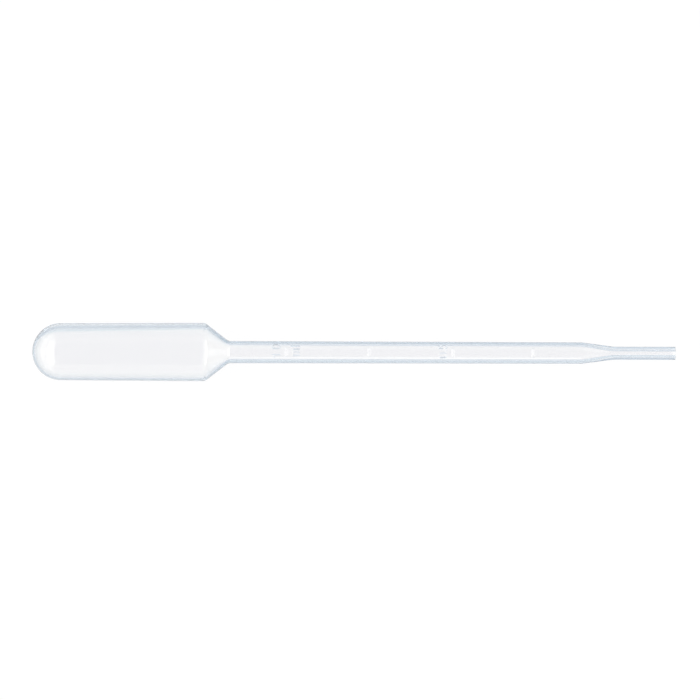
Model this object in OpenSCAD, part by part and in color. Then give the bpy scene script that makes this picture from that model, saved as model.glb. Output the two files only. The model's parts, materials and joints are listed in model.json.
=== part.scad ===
// Graduated dropper pipette, blow-moulded in one piece: a domed squeeze bulb, a conical shoulder,
// a slightly tapered stem with raised volume marks, and a narrow open tip. It is hollow throughout.
// Millimetres. It lies at rest on the edge of its shoulder, where the soft bulb has a small flat
// spot, and on the lower edge of its tip: +X runs from the bulb to the tip, +Z is up, and the marks
// face up.

/* [Bulb] */
// Length of the bulb, from the end of its dome to the edge of its shoulder
bulb_l = 43; // [30:0.5:60]
// Outside diameter of the dome that closes the bulb
dome_d = 14.2; // [11:0.1:18]
// Outside diameter of the bulb at its shoulder
bulb_d = 14.5; // [11:0.1:18]
// Wall of the bulb
bulb_wall = 0.65; // [0.4:0.05:1.2]

/* [Shoulder] */
// Length of the conical shoulder between bulb and stem
shoulder_l = 5.8; // [4:0.1:12]
// Outside rounding of the shoulder's edge
shoulder_round = 1.4; // [0.8:0.1:2]
// Outside rounding of the neck, where the shoulder meets the stem
neck_round = 1.8; // [0.5:0.1:3]

/* [Stem] */
// Length of the stem
stem_l = 88; // [75:0.5:120]
// Outside diameter of the stem at the neck
stem_top_d = 5.5; // [4.5:0.05:7]
// Outside diameter of the stem where it starts to narrow to the tip
stem_end_d = 5.3; // [4.5:0.05:7]
// Wall of the stem
stem_wall = 0.75; // [0.4:0.05:1.1]

/* [Tip] */
// Length of the taper between stem and tip
taper_l = 7.7; // [5:0.1:14]
// Outside rounding where the stem meets the taper
taper_start_round = 5; // [2:0.5:15]
// Outside rounding where the taper meets the tip
taper_end_round = 15; // [2:0.5:20]
// Length of the straight tip
tip_l = 15.5; // [8:0.5:30]
// Outside diameter of the tip
tip_d = 3.2; // [2.4:0.05:4]
// Bore of the tip
tip_bore = 1.3; // [0.6:0.05:1.8]

/* [Volume marks] */
// Distance of the 0.25 ml mark from the stem's lower end
mark_025 = 12.3; // [4:0.1:22]
// Distance of the 0.5 ml mark from the stem's lower end
mark_050 = 32.2; // [24:0.1:42]
// Distance of the 0.75 ml mark from the stem's lower end
mark_075 = 53.1; // [44:0.1:62]
// Distance of the 1.0 ml mark from the stem's lower end
mark_100 = 73.7; // [64:0.1:74]
// Width of a mark along the stem
mark_w = 0.9; // [0.5:0.05:1.5]
// Length of a mark across the stem
mark_span = 2.3; // [1.6:0.1:3.5]
// Height of a mark above the stem
mark_h = 0.18; // [0.08:0.02:0.3]

/* [Rest] */
// Depth of the flat spot that the soft bulb rests on
rest_flat = 0.1; // [0.06:0.02:0.16]

/* [Hidden] */
$fn = 96;
// How far the hollow runs out of the open end, so that it cuts cleanly
clear = 1;
// How far a round stretch of an outline bites into the straight ones, so that they meet cleanly
bite = 0.0005;
// Least rounding of the hollow's shoulder edge, where the wall leaves little of the outer one
least_round = 0.1;

neck_at = bulb_l + shoulder_l;
taper_at = neck_at + stem_l;
tip_at = taper_at + taper_l;
total_l = tip_at + tip_l;
tip_wall = (tip_d - tip_bore) / 2;
shoulder_angle = atan2((bulb_d - stem_top_d) / 2, shoulder_l);
taper_angle = atan2((stem_end_d - tip_d) / 2, taper_l);

// The pipette is built upright on its dome and then laid down. An outline is half a section:
// x is the radius and y the distance from the dome's end. A corner is [radius, distance, rounding].

function at(corner) = [corner.x, corner.y];
function unit(v) = v / norm(v);

// The rounding of corner q between its neighbours p and s: [where it starts, where it ends,
// its centre, its turn]. The turn is positive where the outline juts out.
function rounding(p, q, s) =
    let (
        back = unit(at(p) - at(q)),
        ahead = unit(at(s) - at(q)),
        half_angle = acos(back * ahead) / 2,
        run = q.z / tan(half_angle)
    ) [
        at(q) + back * run,
        at(q) + ahead * run,
        at(q) + unit(back + ahead) * q.z / sin(half_angle),
        cross(ahead, back)
    ];

// Where the straight side that ends at `corner` touches a circle of radius r about [0, centre]
function side_start(centre, r, corner) =
    let (
        reach = at(corner) - [0, centre],
        angle = atan2(reach.x, reach.y) + acos(r / norm(reach))
    ) [r * sin(angle), centre + r * cos(angle)];

// Filled half section of one skin: a dome of radius dome_r about [0, centre], then straight runs
// between rounded corners. The last corner is the open end, and stays sharp.
module skin(centre, dome_r, corners) {
    chain = concat([side_start(centre, dome_r - bite, corners[0])], corners);
    end = chain[len(chain) - 1];
    bends = [for (i = [1 : len(chain) - 2]) rounding(chain[i - 1], chain[i], chain[i + 1])];
    chords = [for (bend = bends, side = [0, 1]) bend[side]];

    difference() {
        intersection() {
            union() {
                polygon(concat([[0, centre], chain[0]], chords, [at(end), [0, end.y]]));
                translate([0, centre]) circle(dome_r);
                for (bend = bends) if (bend[3] > 0) round_stretch(bend);
            }
            translate([0, -clear]) square([dome_r + corners[0].x, end.y + 2 * clear]);
        }
        for (bend = bends) if (bend[3] < 0) round_stretch(bend);
    }
}

module round_stretch(bend) {
    translate(bend[2]) circle(norm(bend[0] - bend[2]) + bite);
}

// Corners of a skin that lies inside the outer one by each part's own wall, or on it with no walls
function skin_corners(bulb_in, stem_in, tip_in, end) = [
    [
        bulb_d / 2 - bulb_in,
        bulb_l - bulb_in * tan(shoulder_angle / 2),
        max(shoulder_round - bulb_in, least_round)
    ],
    [stem_top_d / 2 - stem_in, neck_at - stem_in * tan(shoulder_angle / 2), neck_round + stem_in],
    [stem_end_d / 2 - stem_in, taper_at - stem_in * tan(taper_angle / 2), taper_start_round - stem_in],
    [tip_d / 2 - tip_in, tip_at - tip_in * tan(taper_angle / 2), taper_end_round + tip_in],
    [tip_d / 2 - tip_in, end, 0]
];

outer_corners = skin_corners(0, 0, 0, total_l);

module body() {
    rotate_extrude() skin(dome_d / 2, dome_d / 2, outer_corners);
}

module hollow() {
    corners = skin_corners(bulb_wall, stem_wall, tip_wall, total_l + clear);
    rotate_extrude() skin(dome_d / 2, dome_d / 2 - bulb_wall, corners);
}

function stem_radius(z) =
    (stem_top_d + (stem_end_d - stem_top_d) * (z - neck_at) / stem_l) / 2;

// One raised bar across the stem's upper side: a stretch of a low round bead, with round ends
module mark(above_end) {
    z = taper_at - above_end;
    bead_r = (pow(mark_w / 2, 2) + pow(mark_h, 2)) / (2 * mark_h);
    top_r = stem_radius(z) + mark_h;

    translate([0, 0, z]) intersection() {
        rotate_extrude() translate([top_r - bead_r, 0]) circle(bead_r);
        rotate([0, -90, 0]) cylinder(d = mark_span, h = top_r + clear);
    }
}

// Lays the upright pipette down as it rests, on its shoulder's edge and its tip's lower edge, and
// cuts the flat spot level with the surface that it lies on
module laid_down() {
    dome_r = dome_d / 2;
    tip_r = tip_d / 2;
    side = side_start(dome_r, dome_r, outer_corners[0]);
    edge = rounding(side, outer_corners[0], outer_corners[1])[2];
    fall = edge.x - tip_r;
    run = total_l - edge.y;
    tilt = atan2(fall, run) + asin((shoulder_round - rest_flat) / norm([fall, run]));
    lift = total_l * sin(tilt) + tip_r * cos(tilt);
    least_x = dome_r * (cos(tilt) - 1);
    most_x = total_l * cos(tilt) + tip_r * sin(tilt);

    translate([-(least_x + most_x) / 2, 0, 0]) difference() {
        translate([0, 0, lift]) rotate([0, 90 + tilt, 0]) children();
        translate([0, -bulb_d / 2, -bulb_d]) cube([neck_at, bulb_d, bulb_d]);
    }
}

module pipette() {
    color([0.95, 0.96, 0.97, 0.6])
        laid_down()
            difference() {
                union() {
                    body();
                    for (above_end = [mark_025, mark_050, mark_075, mark_100]) mark(above_end);
                }
                hollow();
            }
}

pipette();
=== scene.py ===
# Dropper pipette, moulded in one piece from translucent polyethylene, on a light table in a light tent.
# The packed solid gives its place, its length and its tip. Lengths are in metres.

import json
import math

import bpy
import numpy as np
from mathutils import Euler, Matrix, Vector


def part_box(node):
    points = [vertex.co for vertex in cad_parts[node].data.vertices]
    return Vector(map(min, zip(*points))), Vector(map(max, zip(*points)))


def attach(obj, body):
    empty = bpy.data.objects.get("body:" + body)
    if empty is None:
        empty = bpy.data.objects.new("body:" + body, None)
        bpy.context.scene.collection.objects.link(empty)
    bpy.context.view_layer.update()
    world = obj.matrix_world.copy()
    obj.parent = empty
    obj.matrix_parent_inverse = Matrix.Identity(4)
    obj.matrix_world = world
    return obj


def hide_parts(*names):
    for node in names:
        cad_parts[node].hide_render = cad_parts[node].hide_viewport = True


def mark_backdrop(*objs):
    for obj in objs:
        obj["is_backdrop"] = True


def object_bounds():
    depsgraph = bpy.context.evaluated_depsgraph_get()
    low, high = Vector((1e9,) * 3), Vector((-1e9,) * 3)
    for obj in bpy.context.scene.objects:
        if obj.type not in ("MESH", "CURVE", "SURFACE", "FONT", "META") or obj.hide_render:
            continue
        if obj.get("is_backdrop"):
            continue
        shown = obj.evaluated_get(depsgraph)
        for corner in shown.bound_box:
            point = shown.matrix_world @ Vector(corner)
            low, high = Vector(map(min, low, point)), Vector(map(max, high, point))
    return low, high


bl_info = {
    "name": "Dropper Pipette",
    "version": (1, 0, 0),
    "blender": (4, 5, 0),
    "location": "3D View > Sidebar > Pipette",
    "description": "Moulds a graduated dropper pipette around its packed solid and lights it",
    "category": "Add Mesh",
}

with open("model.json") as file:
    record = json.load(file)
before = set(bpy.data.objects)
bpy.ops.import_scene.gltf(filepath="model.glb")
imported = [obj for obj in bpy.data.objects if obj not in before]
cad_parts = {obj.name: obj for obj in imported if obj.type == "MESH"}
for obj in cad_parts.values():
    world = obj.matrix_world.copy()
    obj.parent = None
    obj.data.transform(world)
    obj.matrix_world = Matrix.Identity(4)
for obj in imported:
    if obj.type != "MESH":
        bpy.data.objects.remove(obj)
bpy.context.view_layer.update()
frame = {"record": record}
MM = 0.001
NODE = "pipette"
MOUNTS = {mount["name"]: mount for mount in frame["record"]["mounts"]}
TIP_RADIUS = MOUNTS["tip_nozzle"]["dims"]["r_mm"] * MM
BORE_RADIUS = MOUNTS["tip_bore"]["dims"]["r_mm"] * MM

# The shell's own points: on the dome, and in columns round the pipette. The columns stand close
# together on both sides of the line of the marks, up to this angle, and wider elsewhere
DOME_POINTS = 46
MARKED_DEGREES = 48
MARKED_COLUMNS = 78
PLAIN_COLUMNS = 120

# The soft edges of the open end and of a bar. The middle of the open end's soft edge lies in from
# both of its faces by this share of its width
END_EDGE = 0.05 * MM
END_EDGE_MIDDLE = 0.3
BAR_CREST = 0.08 * MM
BAR_END_EDGE = 0.08 * MM

# A painted shade: the base colour turns a cool blue-grey where the outside slopes away from the view, in
# place of the dark surroundings that the rims refract and reflect. Each ramp gives the slope at which the
# painted shade starts, the slope at which it is full, and its strength there
PAINTED_EDGE_SHADE_RAMP = (0.30, 0.62, 1.0)
PAINTED_OUTLINE_SHADE_RAMP = (0.60, 0.82, 3.0)

# Share of that painted rim shade on the bulb, at the neck, at the stem's end and on the tip, and how much
# more of it the far side has there than the middle, a painted difference between the two sides from how the
# light falls. The share is kept on the shell's vertices
PAINTED_RIM_SHADE_ATTRIBUTE = "painted_rim_shade_share"
PAINTED_RIM_SHADE_SHARES = (0.30, 1.15, 1.15, 0.85)
PAINTED_RIM_SHADE_LEANS = (0.10, 0.25, 0.25, -0.45)

# Places of the colours among the Mix node's sockets
MIX_FACTOR, MIX_FIRST, MIX_SECOND, MIX_RESULT = 0, 6, 7, 2

# Directions that the stage's panels face. The figures start on the near side and end on the far side
TO_BULB, TO_TIP = (-1, 0, 0), (1, 0, 0)
TO_NEAR, TO_FAR = (0, -1, 0), (0, 1, 0)
UP, DOWN = (0, 0, 1), (0, 0, -1)

# How far a panel stands in front of or behind the panel that it overlaps
PANEL_GAP = 10.0 * MM


# ---------------------------------------------------------------------------------------------
# Values that a user would change
# ---------------------------------------------------------------------------------------------


def length(name, description, millimetres):
    """A length property, given in millimetres"""
    return bpy.props.FloatProperty(
        name=name, description=description, default=millimetres * MM, min=0.0, precision=5, unit="LENGTH"
    )


def number(name, description, default, **limits):
    """A number property, with its limits and its subtype if it has any"""
    return bpy.props.FloatProperty(name=name, description=description, default=default, precision=4, **limits)


def share(name, description, default):
    """A number property from 0 to 1"""
    return number(name, description, default, min=0.0, max=1.0, subtype="FACTOR")


def angle(name, description, degrees):
    """An angle property, given in degrees"""
    return number(name, description, math.radians(degrees), subtype="ANGLE")


def colour(name, description, default):
    """A linear colour property"""
    return bpy.props.FloatVectorProperty(
        name=name, description=description, default=default, size=3, min=0.0, max=1.0, subtype="COLOR"
    )


class PipetteBody(bpy.types.PropertyGroup):
    """Outside sizes and walls of the moulding, in order from the bulb's dome to the open tip"""

    bulb_length: length("Bulb length", "From the end of the dome to the edge of the shoulder", 43.0)
    dome_diameter: length("Dome diameter", "Outside diameter of the dome that closes the bulb", 14.2)
    bulb_diameter: length("Bulb diameter", "Outside diameter of the bulb at its shoulder", 14.5)
    bulb_wall: length("Bulb wall", "Wall of the bulb", 0.65)
    bulb_thicker: length("Bulb wall thickening", "How much thicker the dome's wall is on its far side", 0.8)
    bulb_evenness: share("Bulb wall evenness", "Share of that thickening left at the shoulder", 0.55)
    shoulder_length: length("Shoulder length", "Length of the cone between bulb and stem", 5.8)
    shoulder_rounding: length("Shoulder rounding", "Outside rounding of the shoulder's edge", 1.4)
    shoulder_inside: length("Shoulder rounding inside", "Rounding of the hollow at the shoulder", 1.8)
    neck_rounding: length("Neck rounding", "Outside rounding where the shoulder meets the stem", 1.8)
    stem_length: length("Stem length", "Length of the stem", 88.0)
    stem_top_diameter: length("Stem diameter at the neck", "Outside diameter at the neck", 5.5)
    stem_end_diameter: length("Stem diameter at its end", "Outside diameter where the taper starts", 5.3)
    stem_wall: length("Stem wall", "Wall of the stem", 0.75)
    taper_length: length("Taper length", "Length of the taper between stem and tip", 7.7)
    taper_start_rounding: length("Taper start rounding", "Outside rounding where the taper starts", 5.0)
    taper_end_rounding: length("Taper end rounding", "Outside rounding where the taper ends", 15.0)
    tip_length: length("Tip length", "Length of the straight tip", 15.5)


class VolumeMarks(bpy.types.PropertyGroup):
    """The raised bars across the stem and the numerals beside them"""

    quarter: length("0.25 ml bar", "Distance of the 0.25 ml bar from the stem's lower end", 12.3)
    half: length("0.5 ml bar", "Distance of the 0.5 ml bar from the stem's lower end", 32.2)
    three_quarters: length("0.75 ml bar", "Distance of the 0.75 ml bar from the stem's lower end", 53.1)
    full: length("1.0 ml bar", "Distance of the 1.0 ml bar from the stem's lower end", 73.7)
    bar_width: length("Bar width", "Width of a bar along the stem", 0.9)
    bar_span: length("Bar length", "Length of a bar across the stem", 2.3)
    bar_height: length("Bar height", "How far a bar stands proud", 0.18)
    numeral_height: length("Numeral height", "Height of a numeral along the stem", 2.1)
    numeral_gap: length("Numeral gap", "Distance between a bar's middle and the numerals above it", 1.5)
    unit_gap: length("Unit gap", "Distance between a bar's middle and the unit below it", 1.2)
    numeral_shift: length("Numeral shift", "How far the numerals sit to the side where they end", 0.42)
    stroke_width: length("Stroke width", "Width of a numeral's raised stroke", 0.48)
    stroke_height: length("Stroke height", "How far a numeral stands proud", 0.155)


class TranslucentPlastic(bpy.types.PropertyGroup):
    """The translucent polyethylene"""

    surface: colour("Surface colour", "Colour of the surface where light passes straight", (1.0, 1.0, 1.0))
    # The edge and outline colours are painted shade, laid on the base colour at the rims in place of the dark
    # surroundings seen there
    edge: colour("Edge colour", "Colour that the outside lends to light that grazes it", (0.48, 0.58, 0.68))
    outline: colour("Outline colour", "Colour that it lends to light at its very outline", (0.26, 0.35, 0.45))
    clarity: share("Clarity", "Share of the light that passes into the wall", 0.98)
    roughness: share("Roughness", "Roughness of the moulded surface", 0.08)
    index: number("Refractive index", "Refractive index of polyethylene", 1.51, min=1.0, max=2.0)
    wave_size: length("Wave size", "Size of the soft waves that the mould leaves on the surface", 2.5)
    wave_height: length("Wave height", "Height of the soft waves on the surface", 0.006)
    depth_tint: colour("Depth tint", "Colour that the wall takes on with depth", (0.425, 0.543, 0.657))
    depth_density: number("Tint density", "How fast it takes that colour on, per metre", 10.0, min=0.0)


class LightTent(bpy.types.PropertyGroup):
    """The table with its light box, the tent's walls and softboxes, and the camera"""

    table_size: length("Table size", "Side of the table that the pipette lies on", 4000.0)
    table_glow: share("Table glow", "Share of the table's white that shadows leave alone", 0.97)
    table_shade: share("Table shade", "Share of the table's white that shadows take away", 0.04)
    table_gap: length("Table gap", "How far the table lies below the pipette", 0.02)
    box_depth: length("Light box depth", "Depth of the white panel below the table", 1000.0)
    box_margin: length("Light box margin", "How far the white panel reaches beyond the pipette", 370.0)
    box_level: number("Light box level", "Light from the white panel below the table", 1.0, min=0.0)
    box_near: colour("Light box near side", "Cool light from its near side and its ends", (0.72, 0.80, 0.87))
    box_far: colour("Light box far side", "Cool light from its far side", (0.78, 0.845, 0.905))
    strip: colour("Dark strip", "Light from the strip on the light box's far side", (0.65, 0.72, 0.79))
    strip_top: length("Dark strip top", "Depth at which the strip starts", 310.0)
    strip_bottom: length("Dark strip bottom", "Depth at which the strip ends", 700.0)
    tube_level: number("Tube level", "Light from the tube in the light box, beside the stem", 1.2, min=0.0)
    tube_length: length("Tube length", "Length of the tube", 105.0)
    tube_width: length("Tube width", "Width of the tube", 65.0)
    tube_along: length("Tube place", "How far the tube lies towards the tip from the middle", 24.0)
    tube_across: length("Tube offset", "How far the tube lies to the near side", 215.0)
    half_length: length("Tent half length", "Distance of the end walls from the tent's middle", 500.0)
    half_width: length("Tent half width", "Distance of the long walls from the tent's middle", 1200.0)
    height: length("Tent height", "Height of the tent's ceiling", 900.0)
    end_width: length("End wall width", "Width of the end walls", 1600.0)
    ceiling: colour("Ceiling", "Light from the tent's ceiling", (0.50, 0.50, 0.62))
    near_wall: colour("Near wall", "Light from the long wall where the figures start", (0.94, 0.94, 1.0))
    far_wall: colour("Far wall", "Light from the long wall where the figures end", (0.50, 0.50, 0.62))
    bulb_wall: number("Bulb wall level", "Light from the wall beyond the bulb", 1.65, min=0.0)
    tip_wall: number("Tip wall level", "Light from the wall beyond the tip", 1.3, min=0.0)
    tip_panel: number("Tip panel level", "Light from the low panel beyond the tip", 1.1, min=0.0)
    tip_panel_width: length("Tip panel width", "Width of the low panel beyond the tip", 220.0)
    tip_panel_height: length("Tip panel height", "Height of that panel, where the wall starts", 330.0)
    tip_surround: number("Tip surround level", "Light from both sides of that panel", 0.45, min=0.0)
    softbox_level: number("Softbox level", "Light from the softbox at each end", 3.4, min=0.0)
    softbox_width: length("Softbox width", "Width of the softboxes", 1000.0)
    softbox_low: length("Softbox bottom", "Height at which the softboxes start", 340.0)
    softbox_high: length("Softbox top", "Height at which the softboxes end", 640.0)
    bounces: bpy.props.IntProperty(
        name="Bounces", description="How many times light may bounce inside the wall", default=48, min=1
    )
    view_width: length("View width", "Width of what the camera sees", 174.0)
    camera_height: length("Camera height", "Height of the camera over the pipette", 500.0)
    aim_along: length("Aim along", "How far the camera aims to the bulb's side of the middle", 0.98)
    aim_across: length("Aim across", "How far the camera aims to the far side of the middle", 0.6)
    roll: angle("Camera roll", "Turn of the camera about its line of sight", 0.16)


GROUPS = {
    "pipette_body": PipetteBody,
    "pipette_marks": VolumeMarks,
    "pipette_plastic": TranslucentPlastic,
    "pipette_tent": LightTent,
}


# ---------------------------------------------------------------------------------------------
# Half section of the moulding, as points of [radius, distance from the dome's end]
# ---------------------------------------------------------------------------------------------


def unit(vector):
    """The vector at length 1"""
    return vector / np.linalg.norm(vector)


def turned(vector, angles):
    """A flat vector turned by each angle"""
    x, y = vector
    cosines, sines = np.cos(angles), np.sin(angles)
    return np.stack([x * cosines - y * sines, x * sines + y * cosines], axis=1)


def bend(before, corner, after, radius, step=math.radians(3), fewest=4):
    """Points round a corner of an outline, from its one straight side to the other"""
    back, ahead = unit(before - corner), unit(after - corner)
    half_angle = math.acos(back @ ahead) / 2
    centre = corner + unit(back + ahead) * radius / math.sin(half_angle)
    start = corner + back * radius / math.tan(half_angle) - centre
    end = corner + ahead * radius / math.tan(half_angle) - centre
    turn = math.atan2(start[0] * end[1] - start[1] * end[0], start @ end)
    return centre + turned(start, np.linspace(0, turn, max(fewest, math.ceil(abs(turn) / step) + 1)))


def stem_ends(body):
    """Distances of the neck and of the stem's lower end from the dome's end"""
    neck_at = body.bulb_length + body.shoulder_length
    return neck_at, neck_at + body.stem_length


def skin_outline(body, bulb_in, stem_in, tip_in):
    """Outline of the skin that lies inside the outer one by each part's own wall, or of the outer one"""
    neck_at, taper_at = stem_ends(body)
    tip_at = taper_at + body.taper_length
    shoulder_lean = math.atan2((body.bulb_diameter - body.stem_top_diameter) / 2, body.shoulder_length) / 2
    taper_lean = math.atan2(body.stem_end_diameter / 2 - TIP_RADIUS, body.taper_length) / 2
    corners = [
        (
            body.bulb_diameter / 2 - bulb_in,
            body.bulb_length - bulb_in * math.tan(shoulder_lean),
            body.shoulder_inside if bulb_in else body.shoulder_rounding,
        ),
        (
            body.stem_top_diameter / 2 - stem_in,
            neck_at - stem_in * math.tan(shoulder_lean),
            body.neck_rounding + stem_in,
        ),
        (
            body.stem_end_diameter / 2 - stem_in,
            taper_at - stem_in * math.tan(taper_lean),
            body.taper_start_rounding - stem_in,
        ),
        (TIP_RADIUS - tip_in, tip_at - tip_in * math.tan(taper_lean), body.taper_end_rounding + tip_in),
    ]
    centre = np.array([0.0, body.dome_diameter / 2])
    dome_radius = body.dome_diameter / 2 - bulb_in
    points = [np.array(corner[:2]) for corner in corners]
    reach = points[0] - centre
    side = math.atan2(reach[0], reach[1]) + math.acos(dome_radius / np.linalg.norm(reach))
    angles = np.linspace(math.pi, side, DOME_POINTS)
    dome = centre + dome_radius * np.stack([np.sin(angles), np.cos(angles)], axis=1)
    dome[0, 0] = 0.0
    chain = [dome[-1], *points, np.array([TIP_RADIUS - tip_in, tip_at + body.tip_length])]
    bends = [
        bend(before, corner, after, given[2])
        for before, corner, after, given in zip(chain, chain[1:], chain[2:], corners)
    ]
    return np.vstack([dome, *bends, chain[-1:]])


def with_rows(outline, fine_stretches, fine=0.067 * MM, coarse=3.0 * MM):
    """The outline with more points on its straights: close together where raised marks need them"""
    rows = [outline[0]]
    for start, end in zip(outline, outline[1:]):
        stops = [0.0, 1.0]
        run = end[1] - start[1]
        for low, high in fine_stretches:
            first, last = max(low, start[1]), min(high, end[1])
            if run > fine and last > first:
                count = math.ceil((last - first) / fine) + 1
                stops.extend((np.linspace(first, last, count) - start[1]) / run)
        # Rounded, so that a stop given twice counts once
        stops = np.unique(np.round(stops, 9))
        for low, high in zip(stops, stops[1:]):
            count = max(1, math.ceil((high - low) * run / coarse))
            rows.extend(start + (end - start) * (low + (high - low) * (n + 1) / count) for n in range(count))
    return np.array(rows)


# ---------------------------------------------------------------------------------------------
# Raised marks
# ---------------------------------------------------------------------------------------------


def arc(middle_x, middle_y, radius_x, radius_y, start, end, count=15):
    """Points round part of an ellipse, with angles in degrees"""
    angles = np.radians(np.linspace(start, end, count))
    return [(middle_x + radius_x * math.cos(a), middle_y + radius_y * math.sin(a)) for a in angles]


# Each glyph is its advance and its strokes, in units of a numeral's height
GLYPHS = {
    "0": (
        0.84,
        [[*arc(0.31, 0.66, 0.27, 0.30, 0, 180), *arc(0.31, 0.34, 0.27, 0.30, 180, 360), (0.58, 0.66)]],
    ),
    "1": (0.84, [[(0.10, 0.70), (0.38, 0.96), (0.38, 0.04)]]),
    "5": (0.62, [[(0.54, 0.96), (0.10, 0.96), (0.07, 0.53), *arc(0.28, 0.34, 0.27, 0.28, 125, -140)]]),
    ".": (0.26, [[(0.08, 0.05), (0.09, 0.05)]]),
    "m": (
        1.16,
        [
            [(0.06, 0.86), (0.06, 0.04)],
            [*arc(0.25, 0.66, 0.19, 0.20, 180, 0), (0.44, 0.04)],
            [*arc(0.63, 0.66, 0.19, 0.20, 180, 0), (0.82, 0.04)],
        ],
    ),
    "l": (0.12, [[(0.06, 0.98), (0.06, 0.04)]]),
}


def strokes_of(text, height):
    """Segments of a line of text as an array of [start, end], centred on its middle, its baseline at 0"""
    cursor, segments = 0.0, []
    for glyph in text:
        advance, strokes = GLYPHS[glyph]
        for points in strokes:
            moved = np.array(points) + (cursor, 0.0)
            segments.extend(zip(moved, moved[1:]))
        cursor += advance
    segments = np.array(segments)
    segments[..., 0] -= (segments[..., 0].max() + segments[..., 0].min()) / 2
    return segments * height


def distance_to(segments, across, up):
    """Distance of each point of a grid from the nearest of the segments"""
    points = np.stack([across, up], axis=-1)[..., None, :]
    start, run = segments[:, 0], segments[:, 1] - segments[:, 0]
    along = np.clip(((points - start) * run).sum(-1) / (run * run).sum(-1), 0, 1)
    return np.linalg.norm(points - start - along[..., None] * run, axis=-1).min(-1)


def stroke_relief(distance, width, height):
    """Height of a soft-edged stroke at a distance from its line"""
    return height * np.cos(np.clip(distance / width, 0, 0.5) * math.pi) ** 2


def bar_relief(marks, across, along):
    """Height of a bar: a low ridge with a rounded crest and round ends"""
    half = marks.bar_width / 2
    fall = (np.hypot(along, BAR_CREST) - BAR_CREST) / (math.hypot(half, BAR_CREST) - BAR_CREST)
    crown = marks.bar_height * (1 - fall)
    edge = marks.bar_span / 2 - np.hypot(across, along)
    return np.clip(crown, 0, None) * np.clip(edge / BAR_END_EDGE, 0, 1)


def relief(body, marks, distances, angles, radii):
    """How far the raised marks stand off the skin, for each row and column"""
    stem_end = stem_ends(body)[1]
    across = radii[:, None] * angles[None, :]
    along = np.repeat(distances[:, None], len(angles), axis=1)
    height = np.zeros_like(across)
    for above_end in (marks.quarter, marks.half, marks.three_quarters, marks.full):
        near = np.abs(distances - (stem_end - above_end)) < marks.bar_width
        height[near] += bar_relief(marks, across[near], along[near] - (stem_end - above_end))
    lines = [
        ("1.0", stem_end - marks.full - marks.numeral_gap),
        ("ml", stem_end - marks.full + marks.unit_gap + marks.numeral_height),
        ("0.5", stem_end - marks.half - marks.numeral_gap),
    ]
    # A line of text reaches a little past its height and its baseline, by its strokes' width
    above, below = 1.2 * marks.numeral_height, 0.2 * marks.numeral_height
    for text, baseline in lines:
        near = (distances > baseline - above) & (distances < baseline + below)
        strokes = strokes_of(text, marks.numeral_height)
        gap = distance_to(strokes, across[near] - marks.numeral_shift, baseline - along[near])
        height[near] += stroke_relief(gap, marks.stroke_width, marks.stroke_height)
    return height


def marked_stretches(body, marks, text_margin=0.3 * MM, bar_margin=0.7 * MM):
    """Stretches of the stem that carry raised marks, and so need rows close together"""
    stem_end = stem_ends(body)[1]
    reach = marks.numeral_gap + marks.numeral_height + text_margin
    return [
        (stem_end - marks.full - reach, stem_end - marks.full + reach),
        (stem_end - marks.half - reach, stem_end - marks.half + bar_margin),
        (stem_end - marks.quarter - bar_margin, stem_end - marks.quarter + bar_margin),
        (stem_end - marks.three_quarters - bar_margin, stem_end - marks.three_quarters + bar_margin),
    ]


# ---------------------------------------------------------------------------------------------
# Shader expressions
# ---------------------------------------------------------------------------------------------


class Signal:
    """A node's output in Python expressions: each operator adds the Math node that it stands for"""

    def __init__(self, tree, socket=None):
        self.tree, self.socket = tree, socket

    def node(self, kind, settings=None, sockets=None, output=0):
        """Any node: its type, its settings, the values or links of its sockets, and the output wanted"""
        made = self.tree.nodes.new("ShaderNode" + kind)
        for name, value in (settings or {}).items():
            setattr(made, name, value)
        for name, value in (sockets or {}).items():
            if isinstance(value, Signal):
                self.tree.links.new(value.socket, made.inputs[name])
            else:
                made.inputs[name].default_value = value
        return Signal(self.tree, made.outputs[output])

    def math(self, operation, first, second):
        """A Math node of two values or links"""
        return self.node("Math", {"operation": operation}, {0: first, 1: second})

    def __sub__(self, other):
        return self.math("SUBTRACT", self, other)

    def __rsub__(self, other):
        return self.math("SUBTRACT", other, self)

    def __mul__(self, other):
        return self.math("MULTIPLY", self, other)

    __rmul__ = __mul__

    def feeds(self, name):
        """Sends this output to the tree's own output node"""
        sink = next(node for node in self.tree.nodes if node.bl_idname.startswith("ShaderNodeOutput"))
        self.tree.links.new(self.socket, sink.inputs[name])


def shader_tree(owner, output="OutputMaterial"):
    """An empty shader tree with its output node, as a Signal to build from"""
    owner.use_nodes = True
    owner.node_tree.nodes.clear()
    owner.node_tree.nodes.new("ShaderNode" + output)
    return Signal(owner.node_tree)


def seen_directly(tree):
    """1 for the camera's rays and for those that gloss and clear plastic send on, 0 for the rest"""
    hidden = 1.0
    for ray in ("Is Camera Ray", "Is Glossy Ray", "Is Transmission Ray"):
        hidden = hidden * (1.0 - tree.node("LightPath", output=ray))
    return 1.0 - hidden


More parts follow.
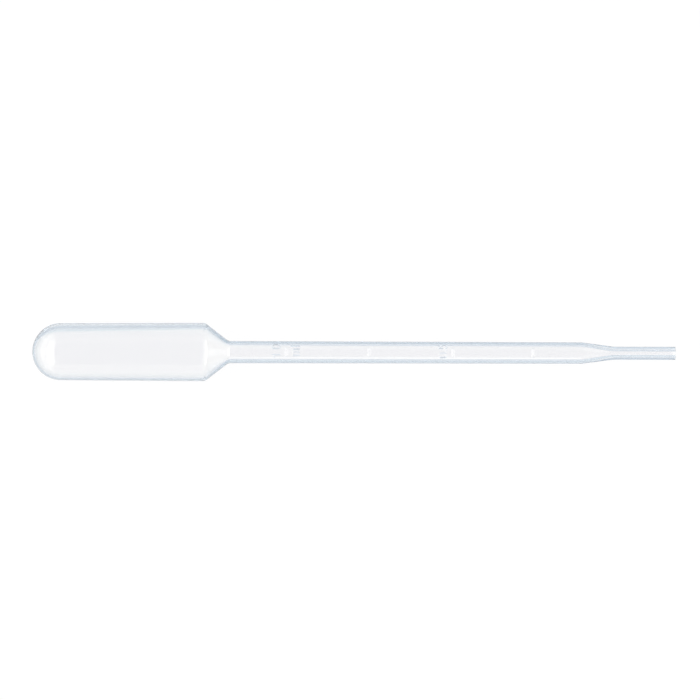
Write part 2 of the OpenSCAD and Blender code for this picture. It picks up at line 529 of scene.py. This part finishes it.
def translucent_plastic(look):
    """Polyethylene with a cool tint that grows with the depth of the wall, and a painted cool shade on its
    base colour where the outside slopes away from the view
    """
    material = bpy.data.materials.new("translucent_polyethylene")
    tree = shader_tree(material)
    painted_rim_weight = tree.node("Attribute", {"attribute_name": PAINTED_RIM_SHADE_ATTRIBUTE}, output="Fac")
    slope = tree.node("LayerWeight", sockets={"Blend": 0.5}, output="Facing")
    # The plain surface colour, then with the painted rim shade of the edge and outline colours mixed in
    tint = (*look.surface, 1.0)
    for (start, full, most), shade in ((PAINTED_EDGE_SHADE_RAMP, look.edge), (PAINTED_OUTLINE_SHADE_RAMP, look.outline)):
        ramp = {"Value": slope, "From Min": start, "From Max": full, "To Max": most}
        painted_rim_shade_mask = painted_rim_weight * tree.node("MapRange", {"interpolation_type": "SMOOTHSTEP"}, ramp)
        colours = {MIX_FACTOR: painted_rim_shade_mask, MIX_FIRST: tint, MIX_SECOND: (*shade, 1.0)}
        tint = tree.node("Mix", {"data_type": "RGBA"}, colours, output=MIX_RESULT)
    place = tree.node("TexCoord", output="Object")
    noise = {"Vector": place, "Scale": 1 / look.wave_size, "Detail": 1.0}
    waves = tree.node("TexNoise", sockets=noise)
    tree.node(
        "BsdfPrincipled",
        sockets={
            "Base Color": tint,
            "Roughness": look.roughness,
            "IOR": look.index,
            "Transmission Weight": look.clarity,
            "Normal": tree.node("Bump", sockets={"Distance": look.wave_height, "Height": waves}),
        },
    ).feeds("Surface")
    depth = {"Color": (*look.depth_tint, 1.0), "Density": look.depth_density}
    tree.node("VolumeAbsorption", sockets=depth).feeds("Volume")
    return material


def table_top(tent):
    """White, with a faint shadow under what lies on it, and clear to the light that plastic passes down"""
    material = bpy.data.materials.new("table_top")
    tree = shader_tree(material)
    shade = tree.node("BsdfDiffuse", sockets={"Color": (tent.table_shade,) * 3 + (1.0,)})
    glow = tree.node("Emission", sockets={"Strength": seen_directly(tree) * tent.table_glow})
    white = tree.node("AddShader", sockets={0: shade, 1: glow})
    passed = tree.node("LightPath", output="Is Transmission Ray")
    tree.node("MixShader", sockets={0: passed, 1: white, 2: tree.node("BsdfTransparent")}).feeds("Surface")
    return material


def even_light(name, level):
    """Even light of a grey level or a colour"""
    material = bpy.data.materials.new(name)
    grey = isinstance(level, float)
    light = {
        "Color": (1.0, 1.0, 1.0, 1.0) if grey else (*level, 1.0),
        "Strength": level if grey else 1.0,
    }
    shader_tree(material).node("Emission", sockets=light).feeds("Surface")
    return material


# ---------------------------------------------------------------------------------------------
# The moulding
# ---------------------------------------------------------------------------------------------


def linked(name, data):
    """A new object with this data, in the scene"""
    made = bpy.data.objects.new(name, data)
    bpy.context.scene.collection.objects.link(made)
    return made


def column_angles():
    """Angles of the shell's columns from the line of the marks"""
    marked = np.linspace(-MARKED_DEGREES, MARKED_DEGREES, MARKED_COLUMNS)
    plain = np.linspace(MARKED_DEGREES, 360 - MARKED_DEGREES, PLAIN_COLUMNS + 2)[1:-1]
    around = np.radians(np.concatenate([marked, plain]))
    return np.where(around > math.pi, around - 2 * math.pi, around)


def open_end_edges(total):
    """Points of the soft edges of the open end: round the outside, then round the bore"""
    middle = END_EDGE * END_EDGE_MIDDLE
    outside = [(TIP_RADIUS - middle, total - middle), (TIP_RADIUS - END_EDGE, total)]
    bore = [(BORE_RADIUS + END_EDGE, total), (BORE_RADIUS + middle, total - middle)]
    return np.array(outside + bore)


def laid_down(outline, radii, angles):
    """Places of the shell's points, in rows and columns, where the packed solid lies"""
    along = np.array(MOUNTS["tip_bore"]["axis"])
    along /= np.linalg.norm(along)
    across, up = np.array([0.0, 1.0, 0.0]), np.array([-along[2], 0.0, along[0]])
    on_axis = np.array(MOUNTS["tip_bore"]["pos_m"])
    end_lean = TIP_RADIUS * abs(along[2])
    open_end = on_axis + along * (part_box(NODE)[1].x - end_lean - on_axis[0]) / along[0]
    dome_end = open_end - along * outline[:, 1].max()
    places = (
        dome_end
        + outline[:, 1, None, None] * along
        + radii[:, :, None] * (np.cos(angles)[None, :, None] * up + np.sin(angles)[None, :, None] * across)
    )
    # The soft bulb has a flat spot where it rests
    places[..., 2] = np.maximum(places[..., 2], 0.0)
    return places


def closed_faces(rows, columns):
    """Faces of a surface whose first and last rows are single points, and whose columns close in a ring"""
    pairs = [(here, (here + 1) % columns) for here in range(columns)]
    last = 1 + (rows - 2) * columns
    faces = [(0, 1 + here, 1 + beside) for here, beside in pairs]
    for start in range(1, last - columns, columns):
        ahead = start + columns
        faces.extend((start + here, ahead + here, ahead + beside, start + beside) for here, beside in pairs)
    faces.extend((last - columns + here, last, last - columns + beside) for here, beside in pairs)
    return faces


def per_vertex(rows):
    """Values of rows and columns in the order of the shell's vertices"""
    return np.concatenate([rows[0, :1], rows[1:-1].reshape(-1, *rows.shape[2:]), rows[-1, :1]])


def shell_mesh(body, marks):
    """The moulding as one closed surface: outer skin, soft edges of the open end, inner skin"""
    outer = with_rows(skin_outline(body, 0.0, 0.0, 0.0), marked_stretches(body, marks))
    inner = with_rows(skin_outline(body, body.bulb_wall, body.stem_wall, TIP_RADIUS - BORE_RADIUS), [])
    edges = open_end_edges(outer[-1, 1])
    outer[-1, 1] -= END_EDGE
    inner[-1, 1] -= END_EDGE
    outline = np.vstack([outer, edges, inner[::-1]])
    inside = np.arange(len(outline)) >= len(outer) + len(edges)

    angles = column_angles()
    radii = np.repeat(outline[:, :1], len(angles), axis=1)
    radii[: len(outer)] += relief(body, marks, outer[:, 1], angles, outer[:, 0])
    radii[0] = radii[-1] = 0.0

    # A blown bulb's wall is uneven: the hollow is drawn in on the far side, down to the neck
    neck_at, stem_end = stem_ends(body)
    fade = np.interp(outline[:, 1], (0.0, body.bulb_length, neck_at), (1.0, body.bulb_evenness, 0.0)) * inside
    drawn_in = fade * outline[:, 0] / outline[:, 0].max()
    radii -= body.bulb_thicker / 2 * (1 + np.sin(angles)) * drawn_in[:, None]

    vertices = per_vertex(laid_down(outline, radii, angles))
    mesh = bpy.data.meshes.new("pipette_shell")
    mesh.from_pydata(vertices.tolist(), [], closed_faces(len(outline), len(angles)))

    # Painted rim shade: its share along the pipette, with a painted lean between the two sides from how the
    # light falls
    stops = (body.bulb_length, neck_at, stem_end, stem_end + body.taper_length)
    painted_rim_shade_shares = np.interp(outline[:, 1], stops, PAINTED_RIM_SHADE_SHARES) * ~inside
    painted_rim_shade_leans = np.interp(outline[:, 1], stops, PAINTED_RIM_SHADE_LEANS)
    painted_rim_shade_values = mesh.attributes.new(PAINTED_RIM_SHADE_ATTRIBUTE, "FLOAT", "POINT")
    painted_rim_shade_values.data.foreach_set("value", per_vertex(painted_rim_shade_shares[:, None] * (1 + painted_rim_shade_leans[:, None] * np.sin(angles))))
    mesh.update()
    mesh.shade_smooth()
    return mesh


class PIPETTE_OT_mould_shell(bpy.types.Operator):
    """Moulds the pipette's one hollow piece, with its bars and numerals, in translucent plastic"""

    bl_idname = "pipette.mould_shell"
    bl_label = "Mould the pipette"

    def execute(self, context):
        scene = context.scene
        shell = linked("pipette_shell", shell_mesh(scene.pipette_body, scene.pipette_marks))
        shell.data.materials.append(translucent_plastic(scene.pipette_plastic))
        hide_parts(NODE)
        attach(shell, "root")
        return {"FINISHED"}


# ---------------------------------------------------------------------------------------------
# The stage
# ---------------------------------------------------------------------------------------------


def panel(name, middle, facing, size, material):
    """A flat panel that looks along facing"""
    half_x, half_y = size[0] / 2, size[1] / 2
    corners = [(-half_x, -half_y, 0), (half_x, -half_y, 0), (half_x, half_y, 0), (-half_x, half_y, 0)]
    mesh = bpy.data.meshes.new(name)
    mesh.from_pydata(corners, [], [(0, 1, 2, 3)])
    mesh.materials.append(material)
    made = linked(name, mesh)
    made.location = middle
    made.rotation_euler = Vector(facing).to_track_quat("Z", "Y").to_euler()
    return made


def lit_panel(name, middle, facing, size, level):
    """A panel of even light that the camera sees through"""
    made = panel(name, middle, facing, size, even_light(name, level))
    made.visible_camera = False
    return made


def tent_walls(tent):
    """The tent round the table: a softbox at each end, the ceiling and the walls"""
    long, wide, tall, low = tent.half_length, tent.half_width, tent.height, tent.tip_panel_height
    softbox_x, softbox_z = long - PANEL_GAP / 2, (tent.softbox_low + tent.softbox_high) / 2
    softbox_size = (tent.softbox_width, tent.softbox_high - tent.softbox_low)
    bulb_wall_size, tip_wall_size = (tent.end_width, tall), (tent.end_width, tall - low)
    long_wall_size = (2 * long, tall)
    tip_panel_size, tip_surround_size = (tent.tip_panel_width, low), (2 * wide, low)
    surround_at = (long + PANEL_GAP, 0, low / 2)
    return [
        lit_panel("tip_softbox", (softbox_x, 0, softbox_z), TO_BULB, softbox_size, tent.softbox_level),
        lit_panel("bulb_softbox", (-softbox_x, 0, softbox_z), TO_TIP, softbox_size, tent.softbox_level),
        lit_panel("ceiling", (0, 0, tall), DOWN, (2 * long, 2 * wide), tent.ceiling),
        lit_panel("bulb_wall", (-long, 0, tall / 2), TO_TIP, bulb_wall_size, tent.bulb_wall),
        lit_panel("tip_wall", (long, 0, (tall + low) / 2), TO_BULB, tip_wall_size, tent.tip_wall),
        lit_panel("tip_panel", (long, 0, low / 2), TO_BULB, tip_panel_size, tent.tip_panel),
        lit_panel("tip_surround", surround_at, TO_BULB, tip_surround_size, tent.tip_surround),
        lit_panel("near_wall", (0, -wide, tall / 2), TO_FAR, long_wall_size, tent.near_wall),
        lit_panel("far_wall", (0, wide, tall / 2), TO_NEAR, long_wall_size, tent.far_wall),
    ]


def light_box(tent, half_x, half_y):
    """The light box under the table: white below, cool at its sides, with a tube and a darker strip"""
    deep, halfway = tent.box_depth, -tent.box_depth / 2
    strip_z = -(tent.strip_top + tent.strip_bottom) / 2
    strip_size = (2 * half_x, tent.strip_bottom - tent.strip_top)
    tube_at = (tent.tube_along, -tent.tube_across, PANEL_GAP - deep)
    tube_size = (tent.tube_length, tent.tube_width)
    end_size, side_size = (2 * half_y, deep), (2 * half_x, deep)
    return [
        lit_panel("box_bottom", (0, 0, -deep), UP, (2 * half_x, 2 * half_y), tent.box_level),
        lit_panel("box_tube", tube_at, UP, tube_size, tent.tube_level),
        lit_panel("box_bulb_side", (-half_x, 0, halfway), TO_TIP, end_size, tent.box_near),
        lit_panel("box_tip_side", (half_x, 0, halfway), TO_BULB, end_size, tent.box_near),
        lit_panel("box_near_side", (0, -half_y, halfway), TO_FAR, side_size, tent.box_near),
        lit_panel("box_far_strip", (0, half_y - PANEL_GAP, strip_z), TO_NEAR, strip_size, tent.strip),
        lit_panel("box_far_side", (0, half_y, halfway), TO_NEAR, side_size, tent.box_far),
    ]


def white_world(scene):
    """White where it is seen directly or through plastic, and no light on matt surfaces"""
    scene.world = scene.world or bpy.data.worlds.new("studio")
    tree = shader_tree(scene.world, "OutputWorld")
    white = {"Color": (1.0, 1.0, 1.0, 1.0), "Strength": seen_directly(tree)}
    tree.node("Background", sockets=white).feeds("Surface")


def overhead_camera(tent, middle):
    """A camera that looks straight down, with no perspective"""
    camera = linked("camera", bpy.data.cameras.new("camera"))
    camera.data.type = "ORTHO"
    camera.data.ortho_scale = tent.view_width
    camera.location = middle + Vector((-tent.aim_along, tent.aim_across, tent.camera_height))
    camera.rotation_euler = Euler((0, 0, tent.roll))
    return camera


class PIPETTE_OT_pitch_tent(bpy.types.Operator):
    """Sets up the table with its light box, the tent, the world and the camera"""

    bl_idname = "pipette.pitch_tent"
    bl_label = "Pitch the light tent"

    def execute(self, context):
        scene, tent = context.scene, context.scene.pipette_tent
        low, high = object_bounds()
        middle = (low + high) / 2

        table = panel("table", middle, UP, (tent.table_size, tent.table_size), table_top(tent))
        table.location.z = low.z - tent.table_gap
        half_x, half_y = (high.x - low.x) / 2 + tent.box_margin, (high.y - low.y) / 2 + tent.box_margin
        lights = tent_walls(tent) + light_box(tent, half_x, half_y)
        white_world(scene)

        scene.camera = overhead_camera(tent, middle)
        for kind in ("max_bounces", "transmission_bounces", "glossy_bounces"):
            setattr(scene.cycles, kind, tent.bounces)
        scene.view_settings.view_transform = "Standard"
        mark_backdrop(table, scene.camera, *lights)
        return {"FINISHED"}


class PIPETTE_PT_workshop(bpy.types.Panel):
    """The pipette's pieces and its stage"""

    bl_idname = "PIPETTE_PT_workshop"
    bl_label = "Dropper pipette"
    bl_space_type = "VIEW_3D"
    bl_region_type = "UI"
    bl_category = "Pipette"

    def draw(self, context):
        for operator in (PIPETTE_OT_mould_shell, PIPETTE_OT_pitch_tent):
            self.layout.operator(operator.bl_idname)
        for name, group in GROUPS.items():
            box = self.layout.box()
            box.label(text=group.__doc__)
            for field in group.__annotations__:
                box.prop(getattr(context.scene, name), field)


CLASSES = (*GROUPS.values(), PIPETTE_OT_mould_shell, PIPETTE_OT_pitch_tent, PIPETTE_PT_workshop)


def register():
    for cls in CLASSES:
        bpy.utils.register_class(cls)
    for name, group in GROUPS.items():
        setattr(bpy.types.Scene, name, bpy.props.PointerProperty(type=group))


def unregister():
    for name in GROUPS:
        delattr(bpy.types.Scene, name)
    for cls in reversed(CLASSES):
        bpy.utils.unregister_class(cls)


def main():
    """Builds the pipette and its stage"""
    register()
    bpy.ops.pipette.mould_shell()
    bpy.ops.pipette.pitch_tent()
    bpy.context.view_layer.update()


if __name__ == "__main__":
    main()
